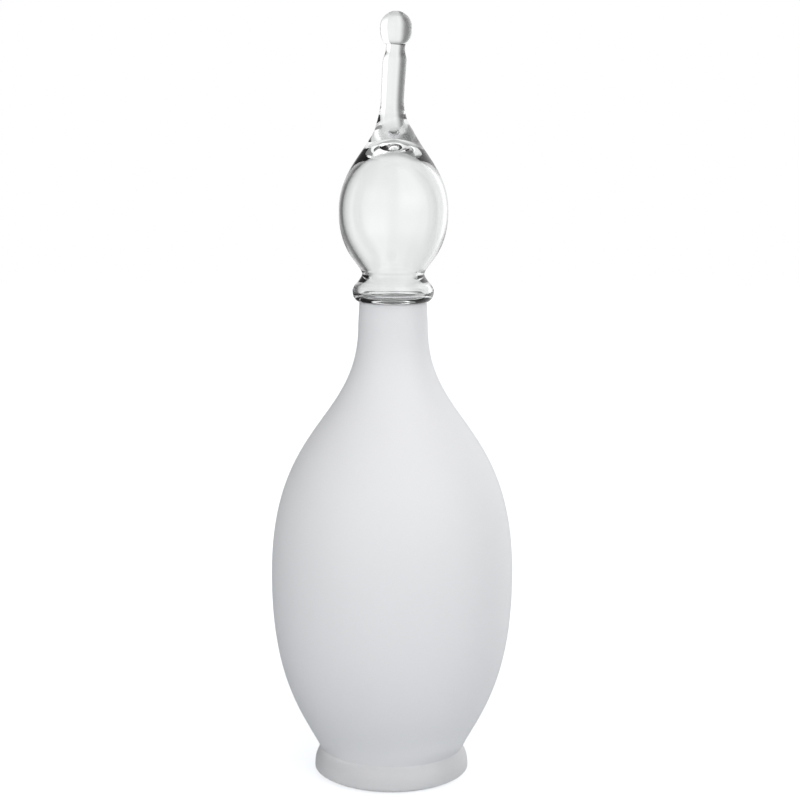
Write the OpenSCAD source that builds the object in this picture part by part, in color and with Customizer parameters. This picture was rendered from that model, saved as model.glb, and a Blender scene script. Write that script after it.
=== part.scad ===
// A tall blown-glass genie bottle: a frosted pear-shaped body on an applied
// glass foot, closed by a clear hollow stopper with a drawn rod and a ball.
// Millimetres, +Z up. The origin is the centre of the ring that the foot
// stands on, and every turned piece shares the Z axis.

/* [Foot] */
// Widest diameter of the foot
foot_d = 86; // [82:0.2:110]
// Height of the foot, from the table to the crease under the body
foot_h = 15; // [10:0.5:22]
// Height of the widest ring of the foot
foot_widest_z = 3; // [2:0.2:6]
// Diameter of the flat joint where the body sits on the foot
crease_d = 80; // [70:0.2:81]
// Outer diameter of the ground ring that touches the table
stand_d = 75.4; // [70:0.2:80]
// Inner diameter of the ground ring
stand_bore_d = 58; // [30:1:66]
// Depth of the shallow hollow under the foot
underside_h = 2; // [1:0.2:5]

/* [Body] */
// Widest diameter of the body
belly_d = 133.6; // [115:0.2:160]
// Height of the belly above the foot
belly_h = 98; // [80:1:120]
// Height from the belly to the root of the neck
shoulder_h = 139; // [110:1:170]
// Height of the straight neck, from its root to the lip
neck_h = 13; // [6:1:18]
// Diameter of the neck at its root
neck_root_d = 38; // [37:0.2:46]
// Diameter of the neck at the lip
neck_d = 36.8; // [35:0.1:42]
// Angle at which the wall leaves the foot, from the horizontal
heel_angle = 63; // [50:1:80]
// How far the wall runs on from the foot, as a share of the belly height
heel_run = 0.235; // [0.1:0.005:0.35]
// How full the body is under the belly, as a share of the belly height
belly_full = 0.6; // [0.4:0.01:0.75]
// How full the shoulder is, as a share of the shoulder height
shoulder_full = 0.62; // [0.45:0.01:0.75]
// How long the throat is, as a share of the shoulder height
throat_full = 0.39; // [0.25:0.01:0.5]
// How long the throat is on the inside, as a share of the hollow shoulder's height
throat_inside = 0.24; // [0.15:0.01:0.4]
// Thickness of the blown wall at the belly
wall_t = 3.4; // [2:0.1:5]
// Thickness of the wall at the heel, where the glass gathers
heel_wall_t = 4.6; // [3:0.1:7]
// Thickness of the glass floor at its middle
floor_t = 6; // [4:0.2:10]
// Radius of the polished outer edge of the lip
lip_round = 0.8; // [0.2:0.1:1]

/* [Ground joint] */
// Diameter of the ground bore at the lip
bore_d = 30; // [28:0.1:31]
// Length of the ground bore
ground_h = 26; // [20:1:36]
// Narrowing of the ground surfaces, in diameter for each millimetre of length
ground_taper = 0.1; // [0.05:0.01:0.14]
// Gap between plug and bore, on each side
plug_gap = 0.08; // [0.03:0.01:0.1]
// Length of the plug below the lip
plug_h = 24; // [16:1:30]
// Diameter of the hollow at the foot of the plug
plug_bore_d = 20.6; // [16:0.2:21]
// Bevel round the foot of the plug
plug_bevel = 0.6; // [0.2:0.1:1]

/* [Collar] */
// Widest diameter of the collar bead
collar_d = 44.4; // [43:0.2:54]
// Height of the collar, from the lip to the waist
collar_h = 15; // [11:0.5:20]
// Height of the widest ring of the collar above the lip
collar_widest_h = 6; // [4:0.1:8]
// How far the collar's flat underside reaches past the neck, on each side
collar_overhang = 0.2; // [0:0.1:0.4]
// Diameter of the hollow where the collar meets the plug
tube_bore_d = 24.6; // [22:0.2:24.8]
// Thickness of the blown collar's wall at its widest ring
bead_wall_t = 2.4; // [1.6:0.1:4]
// Thickness of the collar's floor over the lip
bead_floor_t = 2.2; // [1.6:0.1:3]

/* [Bulb] */
// Diameter of the waist between collar and bulb
waist_d = 33.7; // [32.4:0.1:37]
// Diameter of the hollow at the waist
waist_bore_d = 26.8; // [24:0.2:28]
// Widest diameter of the bulb
bulb_d = 59.2; // [50:0.2:72]
// Height from the waist to the widest ring of the bulb
bulb_h = 34; // [28:0.5:45]
// Height of the cone, from the widest ring up to the rod
cone_h = 58; // [50:0.5:70]
// How full the cone is above the widest ring, as a share of the cone height
cone_full = 0.46; // [0.35:0.01:0.6]
// How early the cone thins to the rod, as a share of the cone height
cone_draw = 0.4; // [0.25:0.01:0.5]
// How far the foot of the rod still flares, on each side
rod_flare = 1.5; // [0:0.1:3]
// Thickness of the bulb's wall at the widest ring
bulb_wall_t = 2; // [1.5:0.1:6]
// Height of the hollow above the widest ring
dome_h = 36; // [24:0.5:37]
// Height of the join between bulb and rod above the widest ring
join_h = 43.5; // [40:0.5:46]

/* [Rod and ball] */
// Diameter of the rod above the cone
rod_d = 12.4; // [10:0.1:14]
// Length of the rod, from the cone to where it narrows
rod_h = 21; // [14:0.5:30]
// Height over which the rod narrows to its neck
narrowing_h = 7; // [4:0.5:10]
// Diameter of the neck under the ball
ball_neck_d = 10.2; // [8:0.1:12]
// Length of the straight neck under the ball
ball_neck_h = 2.5; // [1:0.5:5]
// How far the rod swells before it narrows, on each side
rod_swell = 0.2; // [0:0.1:0.8]
// How far the rod bows to one side
rod_bow = 0.9; // [0:0.1:3]
// How far the ball sits to the other side of the axis
ball_lean = 1; // [0:0.1:2]
// Diameter of the ball
ball_d = 17.1; // [14:0.1:22]
// Height of the ball's widest ring above its neck
ball_low_h = 9; // [7:0.5:12]
// Height of the ball above its widest ring
ball_top_h = 8.5; // [7:0.5:11]

/* [Hidden] */
$fn = 96;

// Points along a long curve, and along a small one
curve_steps = 24;
bend_steps = 10;
lip_steps = 5;
// Rings on the flared foot of the bent rod, and its sides
rod_rings = 12;
rod_sides = 40;
// Share of a radius that makes a Bezier arc nearly a quarter circle
round_pull = 0.5523;

// Where the two inner points of each curve lie: how far across and how far
// up from its first end, as shares of the whole way to its second end
underside_pull = [[0.5, 0], [0.8, 1]];
foot_edge_pull = [[0.2, 0], [1, 0.7]];
foot_flank_pull = [[0, 0.62], [0.7, 0.64]];
floor_pull = [0.62, 0.8];
collar_top_pull = [[0, 0.3], [0.83, 0.58]];
bead_floor_pull = [[0.55, 0.05], [1, 0.4]];
bulb_pull = [[0.09, 0.17], [1, 0.32]];
bulb_throat_pull = [[0.1, 0.2], [1, 0.38]];
dome_pull = [[0, 0.6], [0.62, 0.96]];
rod_pull = [[0, 0.4], [1, 0.6]];
narrowing_pull = [[0, 0.45], [1, 0.6]];
ball_low_pull = [[0.6, 0.08], [1, 0.35]];
// Share of the body's lower curve at which the floor takes over from the wall
floor_from = 0.3;
// How much the bow of the rod sits towards its lower end, where 1 is even,
// and how late its lean to the other side comes, where 1 is a steady lean
bow_low = 0.45;
lean_late = 4;

// Levels that the pieces share
floor_z = foot_h + floor_t;
belly_z = foot_h + belly_h;
root_z = belly_z + shoulder_h;
lip_z = root_z + neck_h;
ground_z = lip_z - ground_h;
plug_z = lip_z - plug_h;
waist_z = lip_z + collar_h;
bulb_z = waist_z + bulb_h;
rod_z = bulb_z + cone_h;
narrowing_z = rod_z + rod_h;
ball_neck_z = narrowing_z + narrowing_h + ball_neck_h;
ball_z = ball_neck_z + ball_low_h;
top_z = ball_z + ball_top_h;

// Radii that the pieces share
belly_r = belly_d / 2;
waist_r = waist_d / 2;
bulb_r = bulb_d / 2;
rod_r = rod_d / 2;
ball_neck_r = ball_neck_d / 2;
tube_bore_r = tube_bore_d / 2;
waist_bore_r = waist_bore_d / 2;
bore_r = bore_d / 2;
ground_r = bore_r - ground_taper * ground_h / 2;
plug_r = bore_r - plug_gap;
plug_foot_r = plug_r - ground_taper * plug_h / 2;

// A curve is four Bezier points of radius and height
function across_up(a, b, pull) = [a[0] + (b[0] - a[0]) * pull[0], a[1] + (b[1] - a[1]) * pull[1]];
function curve(a, b, pull) = [a, across_up(a, b, pull[0]), across_up(a, b, pull[1]), b];
function quarter(a, corner, b) =
    [a, a + (corner - a) * round_pull, b + (corner - b) * round_pull, b];
function point(c, t) = pow(1 - t, 3) * c[0] + 3 * t * pow(1 - t, 2) * c[1]
    + 3 * t * t * (1 - t) * c[2] + pow(t, 3) * c[3];
function heading(c, t) =
    let (d = pow(1 - t, 2) * (c[1] - c[0]) + 2 * t * (1 - t) * (c[2] - c[1]) + t * t * (c[3] - c[2]))
    d / norm(d);
function run(c, steps = curve_steps, from = 0, to = 1) =
    [for (i = [0 : steps]) point(c, from + (to - from) * i / steps)];
function back(list) = [for (i = [len(list) - 1 : -1 : 0]) list[i]];
function ease(u) = u * u * (3 - 2 * u);

// Share of a rising curve at which it reaches a height, found by halving
function share_at(c, z, low = 0, high = 1, halvings = 30) =
    halvings == 0 ? low :
    let (middle = (low + high) / 2)
    point(c, middle)[1] < z ? share_at(c, z, middle, high, halvings - 1)
                            : share_at(c, z, low, middle, halvings - 1);

module turn(profile) {
    rotate_extrude() polygon(profile);
}

// Outer curves of the body, below and above the belly
lower_curve = [
    [crease_d / 2, foot_h],
    [crease_d / 2, foot_h] + heel_run * belly_h * [cos(heel_angle), sin(heel_angle)],
    [belly_r, belly_z - belly_full * belly_h],
    [belly_r, belly_z]];
upper_curve = [
    [belly_r, belly_z],
    [belly_r, belly_z + shoulder_full * shoulder_h],
    [neck_root_d / 2, root_z - throat_full * shoulder_h],
    [neck_root_d / 2, root_z]];

// Inner side of the lower wall: the outer curve moved in, square to itself, by
// a thickness that grows from the belly down to the heel
function lower_inside(t) =
    let (d = heading(lower_curve, t))
    point(lower_curve, t) + (heel_wall_t + (wall_t - heel_wall_t) * ease(t)) * [-d[1], d[0]];

// The floor's curve leaves the axis level and meets the wall in its own direction
floor_end = lower_inside(floor_from);
floor_curve = [
    [0, floor_z],
    [floor_end[0] * floor_pull[0], floor_z],
    floor_end - heading(lower_curve, floor_from) * (floor_end[1] - floor_z) * floor_pull[1],
    floor_end];

// Inner side of the shoulder, from the belly's wall to the foot of the ground bore;
// the glass thickens towards the neck, where the bubble was pulled in
shoulder_inside = [
    [belly_r - wall_t, belly_z],
    [belly_r - wall_t, belly_z + shoulder_full * (ground_z - belly_z)],
    [ground_r, ground_z - throat_inside * (ground_z - belly_z)],
    [ground_r, ground_z]];

// Outer curves of the cone above the bulb and of the rod drawn from it
cone_curve = [
    [bulb_r, bulb_z],
    [bulb_r, bulb_z + cone_full * cone_h],
    [rod_r + rod_flare, rod_z - cone_draw * cone_h],
    [rod_r, rod_z]];
join_share = share_at(cone_curve, bulb_z + join_h);
join_z = point(cone_curve, join_share)[1];
rod_curve = curve([rod_r, rod_z], [rod_r + rod_swell, narrowing_z], rod_pull);
narrowing_curve = curve([rod_r + rod_swell, narrowing_z],
                        [ball_neck_r, narrowing_z + narrowing_h], narrowing_pull);

// The foot is a thick pad of glass, pressed to the hot body and ground level below
module foot() {
    hollow = curve([0, underside_h], [stand_bore_d / 2, 0], underside_pull);
    edge = curve([stand_d / 2, 0], [foot_d / 2, foot_widest_z], foot_edge_pull);
    flank = curve([foot_d / 2, foot_widest_z], [crease_d / 2, foot_h], foot_flank_pull);
    color([0.72, 0.75, 0.77])
        turn(concat(run(hollow, bend_steps), run(edge, bend_steps), run(flank, bend_steps),
                    [[0, foot_h]]));
}

// The body is one blown bubble: a floor, a pear-shaped wall and a neck, with a
// ground taper in its mouth
module bottle_body() {
    lip = quarter([neck_d / 2, lip_z - lip_round], [neck_d / 2, lip_z], [neck_d / 2 - lip_round, lip_z]);
    wall_inside = [for (i = [0 : curve_steps])
        lower_inside(floor_from + (1 - floor_from) * i / curve_steps)];
    color([0.85, 0.87, 0.88])
        turn(concat([[0, foot_h]], run(lower_curve), run(upper_curve), run(lip, lip_steps),
                    [[bore_r, lip_z]], back(run(shoulder_inside)), back(wall_inside),
                    back(run(floor_curve))));
}

// The plug is the ground end of the stopper: a hollow taper, open below
module stopper_plug() {
    color([0.86, 0.88, 0.9])
        turn([
            [tube_bore_r, lip_z],
            [plug_bore_d / 2, plug_z],
            [plug_foot_r - plug_bevel, plug_z],
            [plug_foot_r + ground_taper / 2 * plug_bevel, plug_z + plug_bevel],
            [plug_r, lip_z]]);
}

// The collar is a small bubble blown under the bulb and pressed to a bead; it
// rests on the lip, and its hollow follows its outside
module stopper_collar() {
    seat = [neck_d / 2 + collar_overhang, lip_z];
    widest = [collar_d / 2, lip_z + collar_widest_h];
    hollow_floor = [tube_bore_r, lip_z + bead_floor_t];
    hollow_widest = widest - [bead_wall_t, 0];
    under = quarter(seat, [widest[0], lip_z], widest);
    over = curve(widest, [waist_r, waist_z], collar_top_pull);
    inside_under = curve(hollow_floor, hollow_widest, bead_floor_pull);
    inside_over = curve(hollow_widest, [waist_bore_r, waist_z], collar_top_pull);
    color([0.82, 0.88, 0.92])
        turn(concat([[tube_bore_r, lip_z]], run(under, bend_steps), run(over, bend_steps),
                    back(run(inside_over, bend_steps)), back(run(inside_under, bend_steps))));
}

// The bulb is blown hollow and open below, where the collar goes on from it
module stopper_bulb() {
    hollow_r = bulb_r - bulb_wall_t;
    shoulder = curve([waist_r, waist_z], [bulb_r, bulb_z], bulb_pull);
    throat = curve([waist_bore_r, waist_z], [hollow_r, bulb_z], bulb_throat_pull);
    dome = curve([hollow_r, bulb_z], [0, bulb_z + dome_h], dome_pull);
    color([0.8, 0.88, 0.93])
        turn(concat(run(shoulder), run(cone_curve, curve_steps, 0, join_share), [[0, join_z]],
                    back(run(dome)), back(run(throat))));
}

// Sideways place of the rod's middle: a bow to one side, then a lean to the other
function rod_shift(z) =
    let (u = (z - join_z) / (ball_neck_z - join_z))
    ball_lean * pow(u, lean_late) - rod_bow * pow(sin(180 * pow(u, bow_low)), 2);

// The rod is drawn out of the top of the cone while hot, so it is never quite straight
module finial_rod() {
    outline = concat(run(cone_curve, rod_rings, join_share, 1), run(rod_curve, bend_steps),
                     run(narrowing_curve, bend_steps), [[ball_neck_r, ball_neck_z]]);
    ring_last = len(outline) - 1;
    points = [for (p = outline) for (s = [0 : rod_sides - 1])
        [rod_shift(p[1]) + p[0] * cos(360 * s / rod_sides), p[0] * sin(360 * s / rod_sides), p[1]]];
    foot_face = [for (s = [0 : rod_sides - 1]) s];
    top_face = [for (s = [rod_sides - 1 : -1 : 0]) ring_last * rod_sides + s];
    sides = [for (r = [0 : ring_last - 1]) for (s = [0 : rod_sides - 1])
        let (a = r * rod_sides + s, b = r * rod_sides + (s + 1) % rod_sides)
        each [[a, a + rod_sides, b], [b, a + rod_sides, b + rod_sides]]];
    color([0.78, 0.86, 0.92])
        polyhedron(points, concat([foot_face, top_face], sides));
}

// The ball is a last drop of glass, a little taller below its middle than above
module finial_ball() {
    low = curve([ball_neck_r, ball_neck_z], [ball_d / 2, ball_z], ball_low_pull);
    high = quarter([ball_d / 2, ball_z], [ball_d / 2, top_z], [0, top_z]);
    color([0.78, 0.86, 0.92])
        translate([ball_lean, 0, 0])
            turn(concat([[0, ball_neck_z]], run(low, bend_steps), run(high, bend_steps)));
}

foot();
bottle_body();
stopper_plug();
stopper_collar();
stopper_bulb();
finial_rod();
finial_ball();
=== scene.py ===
# %% [markdown]
# # A frosted genie bottle with a clear stopper
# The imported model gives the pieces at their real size. This script gives them
# the look of hand-worked glass: a bottle blown and dipped in acid, and a clear
# stopper drawn out while hot. Work is in metres, and sizes are written in
# millimetres because that is how a glass worker would measure them.

# %% Load the fixed frame
import bpy
import numpy as np
from math import pi, radians
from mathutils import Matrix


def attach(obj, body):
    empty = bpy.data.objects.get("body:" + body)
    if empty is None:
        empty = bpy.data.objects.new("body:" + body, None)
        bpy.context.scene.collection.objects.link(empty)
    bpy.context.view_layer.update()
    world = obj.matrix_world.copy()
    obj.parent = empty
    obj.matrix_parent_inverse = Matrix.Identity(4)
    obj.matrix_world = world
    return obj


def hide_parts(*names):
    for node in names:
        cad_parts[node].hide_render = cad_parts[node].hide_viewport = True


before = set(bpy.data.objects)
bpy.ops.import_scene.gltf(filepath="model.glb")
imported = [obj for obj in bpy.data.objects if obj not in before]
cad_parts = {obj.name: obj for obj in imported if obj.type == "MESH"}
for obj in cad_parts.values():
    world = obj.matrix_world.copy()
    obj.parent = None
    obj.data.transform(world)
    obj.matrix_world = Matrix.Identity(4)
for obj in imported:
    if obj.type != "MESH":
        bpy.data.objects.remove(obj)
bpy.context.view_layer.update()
MM = 0.001

# %% [markdown]
# ## The camera
# The bottle was photographed from about a metre away, with the lens level with
# the foot of the stopper's rod and tipped down a little. A long lens keeps the
# foot and the ball in the same scale. The axis leans a quarter of a degree in
# the picture, so the camera is rolled by as much. An empty that the camera
# tracks would aim it too, but measured angles are easier to match.

# %% Camera
CAMERA_AWAY = 1.0
CAMERA_HEIGHT = 0.365
CAMERA_ASIDE = 0.0033
TIP_DOWN = radians(8.77)
ROLL = radians(-0.245)
LENS_MM = 83.0
SENSOR_MM = 36.0

camera_data = bpy.data.cameras.new("camera")
camera_data.lens = LENS_MM
camera_data.sensor_width = SENSOR_MM
camera = bpy.data.objects.new("camera", camera_data)
camera.location = (CAMERA_ASIDE, -CAMERA_AWAY, CAMERA_HEIGHT)
camera.rotation_mode = "XYZ"
camera.rotation_euler = (pi / 2 - TIP_DOWN, ROLL, 0.0)
bpy.context.scene.collection.objects.link(camera)
bpy.context.scene.camera = camera
bpy.context.scene.view_settings.view_transform = "Standard"
print("camera:", CAMERA_AWAY, "m away,", CAMERA_HEIGHT, "m up,", LENS_MM, "mm lens")

# %% [markdown]
# ## Curves
# Everything on a glass worker's pipe is turned, so one profile spun round the
# axis gives each piece. The profile is a chain of cubic Bezier curves, which
# bend as smoothly as soft glass does. It could be drawn by hand as points, but
# a curve's few sizes are easier to measure and to change.

# %% Curves
# The reach along both tangents at which a Bezier draws nearly a quarter circle
ROUND_PULL = 0.5523
# Points closer than this, in millimetres, are one point
SAME_POINT = 1e-6


def bezier(points, steps=40, start=0.0, stop=1.0):
    """Cubic Bezier, (1-t)^3 a + 3t(1-t)^2 b + 3t^2(1-t) c + t^3 d, for t from start to stop."""
    t = np.linspace(start, stop, steps + 1)[:, None]
    a, b, c, d = (np.array(p, float) for p in points)
    return (1 - t) ** 3 * a + 3 * t * (1 - t) ** 2 * b + 3 * t * t * (1 - t) * c + t ** 3 * d


def pulled(a, b, pull, steps=24):
    """A Bezier from a to b whose inner points are at the given shares of the way across and up."""
    a, b = np.array(a, float), np.array(b, float)
    return bezier([a, a + (b - a) * pull[0], a + (b - a) * pull[1], b], steps)


def quarter(a, corner, b, steps=16):
    """Nearly a quarter of an ellipse from a to b, whose tangents meet at corner."""
    a, corner, b = (np.array(p, float) for p in (a, corner, b))
    return bezier([a, a + (corner - a) * ROUND_PULL, b + (corner - b) * ROUND_PULL, b], steps)


def straight(a, b, steps=8):
    """Evenly spaced points, a + t (b - a), from a to b."""
    return np.linspace(a, b, steps + 1)


def ease(u):
    """A smooth step, 3u^2 - 2u^3, level at both ends."""
    u = np.clip(u, 0.0, 1.0)
    return u * u * (3 - 2 * u)


def chain(*curves):
    """Joins curves end to end and drops points that repeat."""
    path = np.vstack(curves)
    keep = np.r_[True, np.hypot(*np.diff(path, axis=0).T) > SAME_POINT]
    return path[keep]


circle_miss = np.abs(np.hypot(*quarter((1, 0), (1, 1), (0, 1)).T) - 1).max()
print("a quarter curve misses a circle by", round(float(circle_miss) * 100, 3), "percent")

# %% [markdown]
# ## Turned surfaces
# A turned piece is a grid of points: one way goes along the profile and the
# other way round the axis. It could be made with a Screw modifier, but spinning
# it with numpy keeps every ring where it is wanted and lets the axis itself
# bend, as the rod's does.

# %% Turned surfaces
def turned_points(path, sides, shift=None):
    """Point (i, j) has radius r_i, angle 2 pi j / sides and height z_i, and moves aside by shift_i."""
    angle = 2 * pi * np.arange(sides) / sides
    shift = np.zeros(len(path)) if shift is None else shift
    x = path[:, 0, None] * np.cos(angle) + shift[:, None]
    y = path[:, 0, None] * np.sin(angle)
    z = np.broadcast_to(path[:, 1, None], x.shape)
    return np.stack([x, y, z], axis=-1)


one_ring = turned_points(np.array([[1.0, 2.0]]), 4)[0]
print("a ring of 4 at radius 1 and height 2:", one_ring.round(3).tolist())

# %% [markdown]
# ## Skins
# A grid of points becomes a skin when each square of it gets a face. The path
# round a hollow piece runs along its inside as well as its outside. It starts
# and ends on the axis, where a fan of triangles closes the skin. The plug is an
# open ring instead, so its skin joins up with itself. The faces could be listed
# by a loop over the points, but whole arrays of corner numbers are quicker.

# %% Skins
def ring_faces(sides, here, ahead):
    """Squares from ring to ring: corners here + j, here + k, ahead + k, ahead + j, with k = j + 1.
    They point to the right of the path, which is away from the glass."""
    j = np.arange(sides)
    k = (j + 1) % sides
    return np.stack([here + j, here + k, ahead + k, ahead + j], axis=-1).reshape(-1, 4).tolist()


def looped_skin(grid):
    """A path that ends where it starts: the last ring is joined to the first."""
    rings, sides = grid.shape[:2]
    ring = np.arange(rings)[:, None]
    return grid.reshape(-1, 3), ring_faces(sides, ring * sides, (ring + 1) % rings * sides)


def capped_skin(grid):
    """A path that starts and ends on the axis: a fan of triangles closes each end in one point."""
    rings, sides = grid.shape[:2]
    rings = rings - 2
    between = grid[1:-1].reshape(-1, 3)
    first, last = len(between), len(between) + 1
    vertices = np.vstack([between, grid[0].mean(0), grid[-1].mean(0)])
    ring = np.arange(rings - 1)[:, None] * sides
    j = np.arange(sides)
    k = (j + 1) % sides
    end = (rings - 1) * sides
    start_fan = np.stack([np.full(sides, first), k, j], axis=-1)
    end_fan = np.stack([end + j, end + k, np.full(sides, last)], axis=-1)
    return vertices, ring_faces(sides, ring, ring + sides) + start_fan.tolist() + end_fan.tolist()


print("faces in a ring of 4 sides:", ring_faces(4, 0, 4))

# %% [markdown]
# ## Pieces
# A finished skin becomes a mesh that is shaded smooth, apart from the few crisp
# edges that grinding left. Its object stays at the origin, because the places
# are already in the mesh. It rides on the bottle or on the stopper, so that it
# moves with it, and takes the place of the plain CAD pieces that it dresses.

# %% Pieces
# Edges that turn by more than this stay crisp
CRISP_ANGLE = radians(40)


def add_piece(name, skin, body, nodes, material):
    """Makes a skin into a piece of the scene: it rides on a body and stands for CAD nodes."""
    vertices, faces = skin
    mesh = bpy.data.meshes.new(name)
    mesh.from_pydata((vertices * MM).tolist(), [], faces)
    mesh.polygons.foreach_set("use_smooth", np.ones(len(mesh.polygons), bool))
    mesh.set_sharp_from_angle(angle=CRISP_ANGLE)
    mesh.update()
    mesh.materials.append(material)
    piece = bpy.data.objects.new(name, mesh)
    bpy.context.scene.collection.objects.link(piece)
    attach(piece, body)
    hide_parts(*nodes)
    print(name, "faces:", len(mesh.polygons))


# %% [markdown]
# ## Colours and nodes
# Colours are written as the sRGB hex values that a paint chart gives, and one
# function turns them to the linear values that the renderer works in. Another
# adds a node with its settings and its links, so a material reads as a list of
# what it does.

# %% Colours and nodes
def linear(hex_colour):
    """sRGB to linear: c/12.92 under 0.04045, else ((c + 0.055) / 1.055) ^ 2.4."""
    srgb = np.array([int(hex_colour[i:i + 2], 16) for i in (1, 3, 5)]) / 255
    value = np.where(srgb <= 0.04045, srgb / 12.92, ((srgb + 0.055) / 1.055) ** 2.4)
    return (*value.tolist(), 1.0)


WHITE = linear("#ffffff")


def add(tree, kind, links=None, **settings):
    """Adds a node. A setting named like a socket sets its value, any other sets the node itself."""
    node = tree.nodes.new("ShaderNode" + kind)
    for key, value in settings.items():
        name = key.replace("_", " ")
        if name in node.inputs and not hasattr(node, key):
            node.inputs[name].default_value = value
        else:
            setattr(node, key, value)
    for key, source in (links or {}).items():
        tree.links.new(source, node.inputs[key])
    return node


def new_material(name):
    """An empty material with its output, ready for nodes."""
    material = bpy.data.materials.new(name)
    material.use_nodes = True
    tree = material.node_tree
    tree.nodes.clear()
    print("material:", name)
    return material, tree, add(tree, "OutputMaterial")


# %% [markdown]
# ## Clear glass
# The stopper is blown and drawn soda-lime glass. It was polished by the flame,
# so its skin is as smooth as a liquid's and has no colour. A glass shader with
# an index of 1.5 gives the white and grey bands that bend round the rod and the
# ball. They could be painted on, but they would stay put when the view turns.

# %% Clear glass
GLASS_IOR = 1.5


def clear_glass():
    """Soda-lime glass polished by the flame: colourless, and smooth enough for sharp reflections."""
    material, tree, out = new_material("clear_soda_lime_glass")
    glass = add(tree, "BsdfPrincipled", Base_Color=linear("#fdfefe"), Roughness=0.0, IOR=GLASS_IOR,
                Transmission_Weight=1.0)
    tree.links.new(glass.outputs["BSDF"], out.inputs["Surface"])
    return material


CLEAR = clear_glass()

# %% [markdown]
# ## Acid-frosted glass
# The bottle was dipped in an acid bath, which etches the outer skin into fine
# pits. Light goes through but loses its direction, so the wall glows evenly.
# Part of the light is scattered back by the pits, and that share is given to
# the shader as milk. The bath never bites quite evenly, so the roughness
# drifts a little every few centimetres. The foot is a thick pad and only its
# skin is etched, so it has less milk and looks clearer than the thin wall. The
# ground taper of the stopper's plug is matt in the same way, from grit. A plain
# white surface would be simpler, but light has to come through this one.

# %% Frosted glass
# The real pits are far too fine to see, so these are drawn as coarse as sand
GRAIN_MM, PIT_DEPTH_MM, PIT_STRENGTH = 0.7, 0.05, 0.12
CLOUD_MM, CLOUD_LOW, CLOUD_HIGH = 38.0, 0.3, 0.7
PAD_TOP_MM, WALL_FROM_MM = 11.0, 24.0
ETCHED_TINT = "#fdfdfe"


def frosted_glass(name, milk, pad_milk, pad_rough, smooth, rough):
    """Etched soda-lime glass. The wall's roughness drifts in clouds from smooth to rough, and milk
    and roughness pass from the pad's to the wall's by a smooth step between two heights."""
    material, tree, out = new_material(name)
    place = add(tree, "TexCoord").outputs["Object"]
    cloud = add(tree, "TexNoise", {"Vector": place}, Scale=1 / (CLOUD_MM * MM), Detail=3.0)
    bite = add(tree, "MapRange", {"Value": cloud.outputs["Fac"]}, From_Min=CLOUD_LOW,
               From_Max=CLOUD_HIGH, To_Min=smooth, To_Max=rough)
    grain = add(tree, "TexNoise", {"Vector": place}, Scale=1 / (GRAIN_MM * MM), Detail=2.0)
    pits = add(tree, "Bump", {"Height": grain.outputs["Fac"]}, Strength=PIT_STRENGTH,
               Distance=PIT_DEPTH_MM * MM)
    level = add(tree, "SeparateXYZ", {"Vector": place}).outputs["Z"]
    rise = {"interpolation_type": "SMOOTHSTEP", "From_Min": PAD_TOP_MM * MM,
            "From_Max": WALL_FROM_MM * MM}
    skin = add(tree, "MapRange", {"Value": level, "To Max": bite.outputs[0]}, To_Min=pad_rough, **rise)
    through = add(tree, "MapRange", {"Value": level}, To_Min=1.0 - pad_milk, To_Max=1.0 - milk, **rise)
    glass = add(tree, "BsdfPrincipled", {"Roughness": skin.outputs[0], "Normal": pits.outputs[0],
                                         "Transmission Weight": through.outputs[0]},
                Base_Color=linear(ETCHED_TINT), IOR=GLASS_IOR)
    tree.links.new(glass.outputs["BSDF"], out.inputs["Surface"])
    return material


FROSTED = frosted_glass("acid_frosted_glass", milk=0.76, pad_milk=0.5, pad_rough=0.34,
                        smooth=0.4, rough=0.5)
GROUND = frosted_glass("ground_taper_glass", milk=0.7, pad_milk=0.7, pad_rough=0.4,
                       smooth=0.35, rough=0.45)

# %% [markdown]
# ## The bottle's sizes
# The bottle was blown as one bubble on the pipe and set on a hot pad of glass.
# These are the sizes a glass worker would take off it with calipers. Where a
# curve needs a rounder or a flatter shape, its pull says how far across and how
# far up its two inner points lie, as shares of the whole way.

# %% Bottle sizes in millimetres
FOOT_R, FOOT_H, FOOT_WIDEST_Z = 43.0, 15.0, 3.0
CREASE_R, STAND_R, STAND_BORE_R, UNDERSIDE_H = 40.0, 37.7, 29.0, 2.0
BELLY_R, BELLY_H, SHOULDER_H, NECK_H = 66.8, 98.0, 139.0, 13.0
NECK_ROOT_R, NECK_R, LIP_ROUND = 19.0, 18.4, 0.8
HEEL_ANGLE, HEEL_RUN = radians(63), 0.235
BELLY_FULL, SHOULDER_FULL, THROAT_FULL, THROAT_INSIDE = 0.6, 0.62, 0.39, 0.24
WALL, HEEL_WALL, FLOOR = 3.4, 4.6, 6.0
BORE_R, GROUND_H, TAPER = 15.0, 26.0, 0.05
FLOOR_PULL, FLOOR_FROM = (0.62, 0.8), 0.3
UNDER_PULL = (0.5, 0), (0.8, 1)
EDGE_PULL = (0.2, 0), (1, 0.7)
FLANK_PULL = (0, 0.62), (0.7, 0.64)
BOTTLE_SIDES = 192

BELLY_Z = FOOT_H + BELLY_H
ROOT_Z = BELLY_Z + SHOULDER_H
LIP_Z = ROOT_Z + NECK_H
GROUND_Z = LIP_Z - GROUND_H
GROUND_R = BORE_R - TAPER * GROUND_H
FLOOR_Z = FOOT_H + FLOOR
flat_depth = BELLY_R * (1 - np.cos(pi / BOTTLE_SIDES))
print("lip at", LIP_Z, "mm, belly", 2 * BELLY_R, "mm across at", BELLY_Z, "mm")
print(BOTTLE_SIDES, "sides miss the belly's circle by", round(float(flat_depth), 3), "mm")

# %% [markdown]
# ## The bottle's outside
# Two long curves make the wall: the lower one leaves the pad at a slant and
# swells to the belly, and the upper one draws in to the neck. The pad under
# them is low and thick, with a shallow hollow and a ground ring to stand on.

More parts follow.
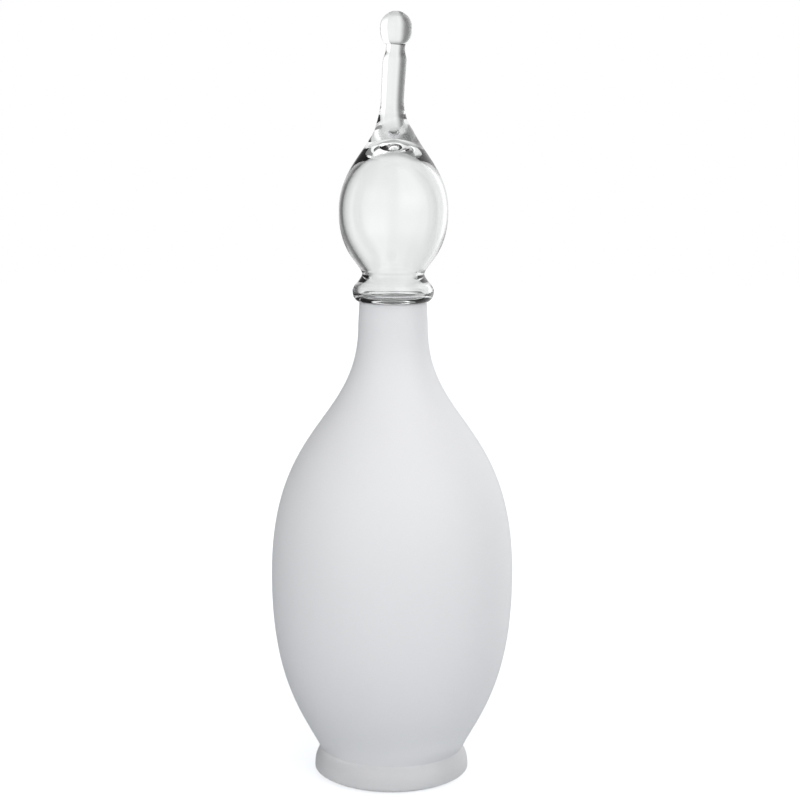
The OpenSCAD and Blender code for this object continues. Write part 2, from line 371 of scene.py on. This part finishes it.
# %% Bottle outside
heel = np.array([np.cos(HEEL_ANGLE), np.sin(HEEL_ANGLE)]) * HEEL_RUN * BELLY_H
LOWER = [np.array([CREASE_R, FOOT_H]), np.array([CREASE_R, FOOT_H]) + heel,
         np.array([BELLY_R, BELLY_Z - BELLY_FULL * BELLY_H]), np.array([BELLY_R, BELLY_Z])]
UPPER = [(BELLY_R, BELLY_Z), (BELLY_R, BELLY_Z + SHOULDER_FULL * SHOULDER_H),
         (NECK_ROOT_R, ROOT_Z - THROAT_FULL * SHOULDER_H), (NECK_ROOT_R, ROOT_Z)]
lip = quarter((NECK_R, LIP_Z - LIP_ROUND), (NECK_R, LIP_Z), (NECK_R - LIP_ROUND, LIP_Z), steps=8)
foot_under = pulled((0, UNDERSIDE_H), (STAND_BORE_R, 0), UNDER_PULL)
foot_edge = pulled((STAND_R, 0), (FOOT_R, FOOT_WIDEST_Z), EDGE_PULL)
foot_flank = pulled((FOOT_R, FOOT_WIDEST_Z), (CREASE_R, FOOT_H), FLANK_PULL)
bottle_outside = chain(foot_under, foot_edge, foot_flank, bezier(LOWER, steps=64),
                       bezier(UPPER, steps=80), lip)
print("points on the outside:", len(bottle_outside))

# %% [markdown]
# ## The bottle's inside
# A blown wall is thin at the belly and thicker at the heel, where the glass was
# stretched least. A Solidify modifier would give one thickness all over. So the
# lower inside is the outer curve moved inwards along its normal, by a thickness
# that grows on the way down. The mouth is ground to a taper.

# %% Bottle inside
def lower_inside(steps=48):
    """Outer point + thickness times inward normal. The thickness eases from HEEL_WALL to WALL."""
    t = np.linspace(FLOOR_FROM, 1.0, steps + 1)
    outer = bezier(LOWER, steps, FLOOR_FROM, 1.0)
    ahead = np.gradient(outer, t, axis=0, edge_order=2)
    ahead = ahead / np.hypot(*ahead.T)[:, None]
    thick = HEEL_WALL + (WALL - HEEL_WALL) * ease(t)
    return outer + thick[:, None] * np.stack([-ahead[:, 1], ahead[:, 0]], axis=-1), ahead[0]


wall_inside, floor_heading = lower_inside()
floor_end = wall_inside[0]
floor_bend = floor_end - floor_heading * (floor_end[1] - FLOOR_Z) * FLOOR_PULL[1]
floor_curve = bezier([(0.0, FLOOR_Z), (floor_end[0] * FLOOR_PULL[0], FLOOR_Z), floor_bend, floor_end])
cavity_h = GROUND_Z - BELLY_Z
shoulder_inside = bezier([(BELLY_R - WALL, BELLY_Z),
                          (BELLY_R - WALL, BELLY_Z + SHOULDER_FULL * cavity_h),
                          (GROUND_R, GROUND_Z - THROAT_INSIDE * cavity_h),
                          (GROUND_R, GROUND_Z)], steps=56)
bore = straight((BORE_R, LIP_Z), (GROUND_R, GROUND_Z))
print("floor's edge at radius", round(float(floor_end[0]), 1), "height", round(float(floor_end[1]), 1))

# %% [markdown]
# ## The bottle
# The pad and the bubble were fused while hot, with no air between them, so the
# light has to find one block of glass there. One path therefore runs from the
# hollow under the foot, round the pad, up the wall to the lip, down the ground
# bore and round the cavity to the middle of the floor. Two pieces could be laid
# against each other, but glass that touches glass shows a false dark seam.

# %% Bottle
bottle_path = chain(bottle_outside, bore, shoulder_inside[::-1], wall_inside[::-1], floor_curve[::-1])
bottle_path[[0, -1], 0] = 0.0
add_piece("frosted_bottle", capped_skin(turned_points(bottle_path, BOTTLE_SIDES)), "bottle",
          ["bottle_body", "foot"], FROSTED)

# %% [markdown]
# ## The stopper's sizes
# The stopper was worked hot in one go. A bulb was blown, and a small bead below
# it. The glass above was drawn out to a rod, and a last drop was set on its end.
# The hollow's own shape counts as much as the outside, because each bend of the
# inner wall draws a line in the glass.

# %% Stopper sizes in millimetres
COLLAR_R, COLLAR_H, COLLAR_WIDEST_H, OVERHANG = 22.2, 15.0, 6.0, 0.2
TUBE_BORE_R, WAIST_BORE_R, BEAD_WALL, BEAD_FLOOR = 12.3, 13.4, 2.4, 2.2
WAIST_R, BULB_R, BULB_H, BULB_WALL = 16.85, 29.6, 34.0, 2.0
CONE_H, CONE_FULL, CONE_DRAW, ROD_FLARE = 58.0, 0.46, 0.4, 1.5
DOME_H, JOIN_H = 36.0, 43.5
ROD_R, ROD_H, ROD_SWELL, NARROWING_H = 6.2, 21.0, 0.2, 7.0
BALL_NECK_R, BALL_NECK_H = 5.1, 2.5
BALL_R, BALL_LOW_H, BALL_TOP_H = 8.55, 9.0, 8.5
COLLAR_PULL = (0, 0.3), (0.83, 0.58)
BULB_PULL = (0.09, 0.17), (1, 0.32)
ROD_PULL = (0, 0.4), (1, 0.6)
NARROWING_PULL = (0, 0.45), (1, 0.6)
BALL_PULL = (0.6, 0.08), (1, 0.35)
DOME_PULL = (0, 0.6), (0.62, 0.96)
THROAT_PULL = (0.1, 0.2), (1, 0.38)
BEAD_FLOOR_PULL = (0.55, 0.05), (1, 0.4)
STOPPER_SIDES = 160
# Air between the bead and the lip, so that the two glass faces never share a place
SEAT_AIR = 0.04

WAIST_Z = LIP_Z + COLLAR_H
BULB_Z = WAIST_Z + BULB_H
JOIN_Z = BULB_Z + JOIN_H
ROD_Z = BULB_Z + CONE_H
NARROWING_Z = ROD_Z + ROD_H
NECK_Z = NARROWING_Z + NARROWING_H
BALL_NECK_Z = NECK_Z + BALL_NECK_H
BALL_Z = BALL_NECK_Z + BALL_LOW_H
TOP_Z = BALL_Z + BALL_TOP_H
print("bulb", 2 * BULB_R, "mm across at", BULB_Z, "mm, top of the ball at", TOP_Z, "mm")

# %% [markdown]
# ## The stopper's profile
# The outside climbs from the lip over the bead, the waist, the bulb, the cone
# and the rod to the top of the ball. It could be a ball, a cone and a cylinder
# put together, but glass has no corner where one form flows into the next.

# %% Stopper outside
collar_seat = (NECK_R + OVERHANG, LIP_Z + SEAT_AIR)
collar_widest = (COLLAR_R, LIP_Z + COLLAR_WIDEST_H)
collar_under = quarter(collar_seat, (COLLAR_R, LIP_Z), collar_widest, steps=24)
collar_over = pulled(collar_widest, (WAIST_R, WAIST_Z), COLLAR_PULL)
bulb_low = pulled((WAIST_R, WAIST_Z), (BULB_R, BULB_Z), BULB_PULL, steps=40)
cone = bezier([(BULB_R, BULB_Z), (BULB_R, BULB_Z + CONE_FULL * CONE_H),
               (ROD_R + ROD_FLARE, ROD_Z - CONE_DRAW * CONE_H), (ROD_R, ROD_Z)], steps=64)
rod = pulled((ROD_R, ROD_Z), (ROD_R + ROD_SWELL, NARROWING_Z), ROD_PULL, steps=20)
narrowing = pulled((ROD_R + ROD_SWELL, NARROWING_Z), (BALL_NECK_R, NECK_Z), NARROWING_PULL, steps=16)
ball_low = pulled((BALL_NECK_R, BALL_NECK_Z), (BALL_R, BALL_Z), BALL_PULL)
ball_high = quarter((BALL_R, BALL_Z), (BALL_R, TOP_Z), (0, TOP_Z), steps=24)
outside = chain(np.array([collar_seat]), collar_under, collar_over, bulb_low, cone, rod, narrowing,
                ball_low, ball_high)
print("points on the outside:", len(outside))

# %% [markdown]
# ## The stopper's hollow
# The hollow follows the outside at nearly one wall in bead and bulb and ends in
# a dome, above which the glass is solid. The outside moved inwards would do for
# the bulb, but it would run on up the cone, where the real hollow has stopped.

# %% Stopper inside
hollow_r = BULB_R - BULB_WALL
bead_r = COLLAR_R - BEAD_WALL
bead_widest = (bead_r, LIP_Z + COLLAR_WIDEST_H)
dome = pulled((hollow_r, BULB_Z), (0, BULB_Z + DOME_H), DOME_PULL, steps=48)
throat = pulled((WAIST_BORE_R, WAIST_Z), (hollow_r, BULB_Z), THROAT_PULL, steps=32)
bead_over = pulled(bead_widest, (WAIST_BORE_R, WAIST_Z), COLLAR_PULL)
bead_under = pulled((TUBE_BORE_R, LIP_Z + BEAD_FLOOR), bead_widest, BEAD_FLOOR_PULL, steps=20)
tube = straight((TUBE_BORE_R, LIP_Z + SEAT_AIR), (TUBE_BORE_R, LIP_Z + BEAD_FLOOR), steps=2)
inside = chain(dome[::-1], throat[::-1], bead_over[::-1], bead_under[::-1], tube[::-1])
print("points on the inside:", len(inside))

# %% [markdown]
# ## The stopper
# The bulb, the bead, the rod and the ball are one clear mass. The path starts
# at the top of the hollow, runs down inside the bulb and the bead, turns under
# the bead and climbs the outside. The rod was pulled by hand and isn't quite
# straight, so its rings are moved sideways. It could be bent with a Curve
# modifier, but a formula keeps the bulb below exactly where it was.

# %% Stopper
ROD_BOW, BALL_LEAN, BOW_LOW, LEAN_LATE = 0.9, 1.0, 0.45, 4


def rod_shift(z):
    """A late lean less a bow, lean u^4 - bow sin^2(pi u^0.45), with u from 0 at the join to 1 above."""
    u = np.clip((z - JOIN_Z) / (BALL_NECK_Z - JOIN_Z), 0.0, 1.0)
    return BALL_LEAN * u ** LEAN_LATE - ROD_BOW * np.sin(pi * u ** BOW_LOW) ** 2


stopper_path = np.vstack([inside, outside])
stopper_path[[0, -1], 0] = 0.0
stopper_shift = np.r_[np.zeros(len(inside)), rod_shift(outside[:, 1])]
add_piece("clear_stopper", capped_skin(turned_points(stopper_path, STOPPER_SIDES, stopper_shift)),
          "stopper", ["stopper_bulb", "stopper_collar", "finial_rod", "finial_ball"],
          CLEAR)
print("the rod bows by", round(float(-stopper_shift.min()), 2), "mm")

# %% [markdown]
# ## The ground plug
# The stopper's lower end was ground with grit against the neck, so it is matt
# while the rest is clear. It is an open ring of glass, so its path closes on
# itself. It could be part of the stopper's skin, but then one surface would
# need two finishes.

# %% Plug
PLUG_GAP, PLUG_H, PLUG_BORE_R, PLUG_BEVEL = 0.08, 24.0, 10.3, 0.6
PLUG_SIDES = 128
# The plug's top lies this far under the lip, so that it never shares a face with the bead
WELD = 0.02

plug_r = BORE_R - PLUG_GAP
plug_foot_r = plug_r - TAPER * PLUG_H
plug_z = LIP_Z - PLUG_H
plug_top = LIP_Z - WELD
bevel_inner = (plug_foot_r - PLUG_BEVEL, plug_z)
bevel_outer = (plug_foot_r + TAPER * PLUG_BEVEL, plug_z + PLUG_BEVEL)
plug_path = chain(straight((TUBE_BORE_R, plug_top), (PLUG_BORE_R, plug_z)), np.array([bevel_inner]),
                  straight(bevel_outer, (plug_r, plug_top)))
add_piece("ground_plug", looped_skin(turned_points(plug_path, PLUG_SIDES)), "stopper",
          ["stopper_plug"], GROUND)

# %% [markdown]
# ## The studio
# Glass shows its surroundings, so the surroundings are the light. Behind the
# bottle is a pale backdrop, with a softbox and a dark edge to its right and a
# dark flag to its left. Behind the camera the room is white, with a key light
# high on the right and a fill low on the left. It goes grey overhead and
# underfoot. Cards and lamps could stand round the bottle, but then every one
# needs a place. In the world, each is a panel drawn by its direction over the
# one before, with soft edges.

# %% Directions
world = bpy.data.worlds.new("studio")
bpy.context.scene.world = world
world.use_nodes = True
tree = world.node_tree
tree.nodes.clear()
axes = add(tree, "SeparateXYZ", {"Vector": add(tree, "TexCoord").outputs["Generated"]})
azimuth = add(tree, "Math", {0: axes.outputs["X"], 1: axes.outputs["Y"]}, operation="ARCTAN2").outputs[0]
height = add(tree, "Math", {0: axes.outputs["Z"]}, operation="ARCSINE").outputs[0]
print("world:", world.name)

# %% [markdown]
# A panel is a mask between two azimuths and two heights. Azimuth is 0 straight
# behind the bottle, as the camera sees it, and grows to the right. Height is 0
# at the horizon.

# %% Bands and panels
def band(value, low, high, soft):
    """1 between two angles in degrees, falling to 0 over soft degrees to either side of each."""
    edges = []
    for angle, fall in ((low, soft), (high, -soft)):
        edges.append(add(tree, "MapRange", {"Value": value}, interpolation_type="SMOOTHSTEP",
                         From_Min=radians(angle - fall), From_Max=radians(angle + fall)).outputs[0])
    return add(tree, "Math", {0: edges[0], 1: edges[1]}, operation="MULTIPLY").outputs[0]


def panel(under, level, sideways, upwards, soft_sides, soft_ends):
    """Lays one grey level over what is under it: under + mask (level - under)."""
    across = band(azimuth, *sideways, soft_sides)
    upright = band(height, *upwards, soft_ends)
    mask = add(tree, "Math", {0: across, 1: upright}, operation="MULTIPLY").outputs[0]
    mix = add(tree, "Mix", {0: mask, 2: under}, data_type="FLOAT")
    mix.inputs[3].default_value = level
    return mix.outputs[0]


# %% [markdown]
# Each panel is laid over those before it, and one that reaches past the end of
# a scale has no edge there. Levels over 1 are whiter than white card, as lamps
# are, and the dark ones draw the dark lines at the edges of clear glass.

# %% Panels
ROOM = 1.02
ALL_ROUND, TOP, BOTTOM = (-400, 400), 200, -200
# Each has its level, its azimuths, its heights and how soft its sides and its ends are, in degrees
PANELS = {
    "key light": (1.7, (100, 165), (5, 80), 12, 14),
    "fill": (1.45, (-170, -100), (-60, 35), 12, 14),
    "backdrop": (0.86, (-120, 105), (-60, 60), 15, 15),
    "overhead": (0.42, (-120, 105), (33, TOP), 15, 13),
    "underfoot": (0.68, ALL_ROUND, (BOTTOM, -30), 1, 14),
    "flag": (0.19, (-74, -17), (-75, 50), 10, 12),
    "dark edge": (0.28, (70, 100), (-35, 50), 2, 12),
    "softbox": (1.2, (24, 70), (-20, 60), 2, 12),
}

room = add(tree, "Value")
room.outputs[0].default_value = ROOM
studio = room.outputs[0]
for placing in PANELS.values():
    studio = panel(studio, *placing)
room_light = add(tree, "Background", {"Strength": studio}, Color=WHITE)
backdrop = add(tree, "Background", Color=WHITE, Strength=1.0)
to_camera = add(tree, "LightPath").outputs["Is Camera Ray"]
mixed = add(tree, "MixShader", {0: to_camera, 1: room_light.outputs[0], 2: backdrop.outputs[0]})
add(tree, "OutputWorld", {"Surface": mixed.outputs[0]})
print("panels:", ", ".join(PANELS))

# %% [markdown]
# ## The floor
# The floor is pale card. To the camera it is lifted to white, so that only the
# shadow stays. Rays that come through the glass or off it pass through the
# floor to the studio behind it, or the edge of the card would cut across them.

# %% Floor
FLOOR_HALF = 3000.0
FLOOR_LIFT = 0.66

floor_material, tree, out = new_material("pale_studio_floor")
card = add(tree, "BsdfDiffuse", Color=linear("#c6cbd1")).outputs[0]
lift = add(tree, "Emission", Color=WHITE, Strength=FLOOR_LIFT).outputs[0]
lifted = add(tree, "AddShader", {0: card, 1: lift}).outputs[0]
rays = add(tree, "LightPath").outputs
shown = add(tree, "MixShader", {0: rays["Is Camera Ray"], 1: card, 2: lifted}).outputs[0]
by_glass = add(tree, "Math", {0: rays["Is Glossy Ray"], 1: rays["Is Transmission Ray"]},
               operation="MAXIMUM").outputs[0]
nothing = add(tree, "BsdfTransparent").outputs[0]
mixed = add(tree, "MixShader", {0: by_glass, 1: shown, 2: nothing}).outputs[0]
tree.links.new(mixed, out.inputs["Surface"])

floor_mesh = bpy.data.meshes.new("studio_floor")
corners = np.array([(-1, -1, 0), (1, -1, 0), (1, 1, 0), (-1, 1, 0)]) * FLOOR_HALF * MM
floor_mesh.from_pydata(corners.tolist(), [], [(0, 1, 2, 3)])
floor_mesh.materials.append(floor_material)
floor = bpy.data.objects.new("studio_floor", floor_mesh)
bpy.context.scene.collection.objects.link(floor)
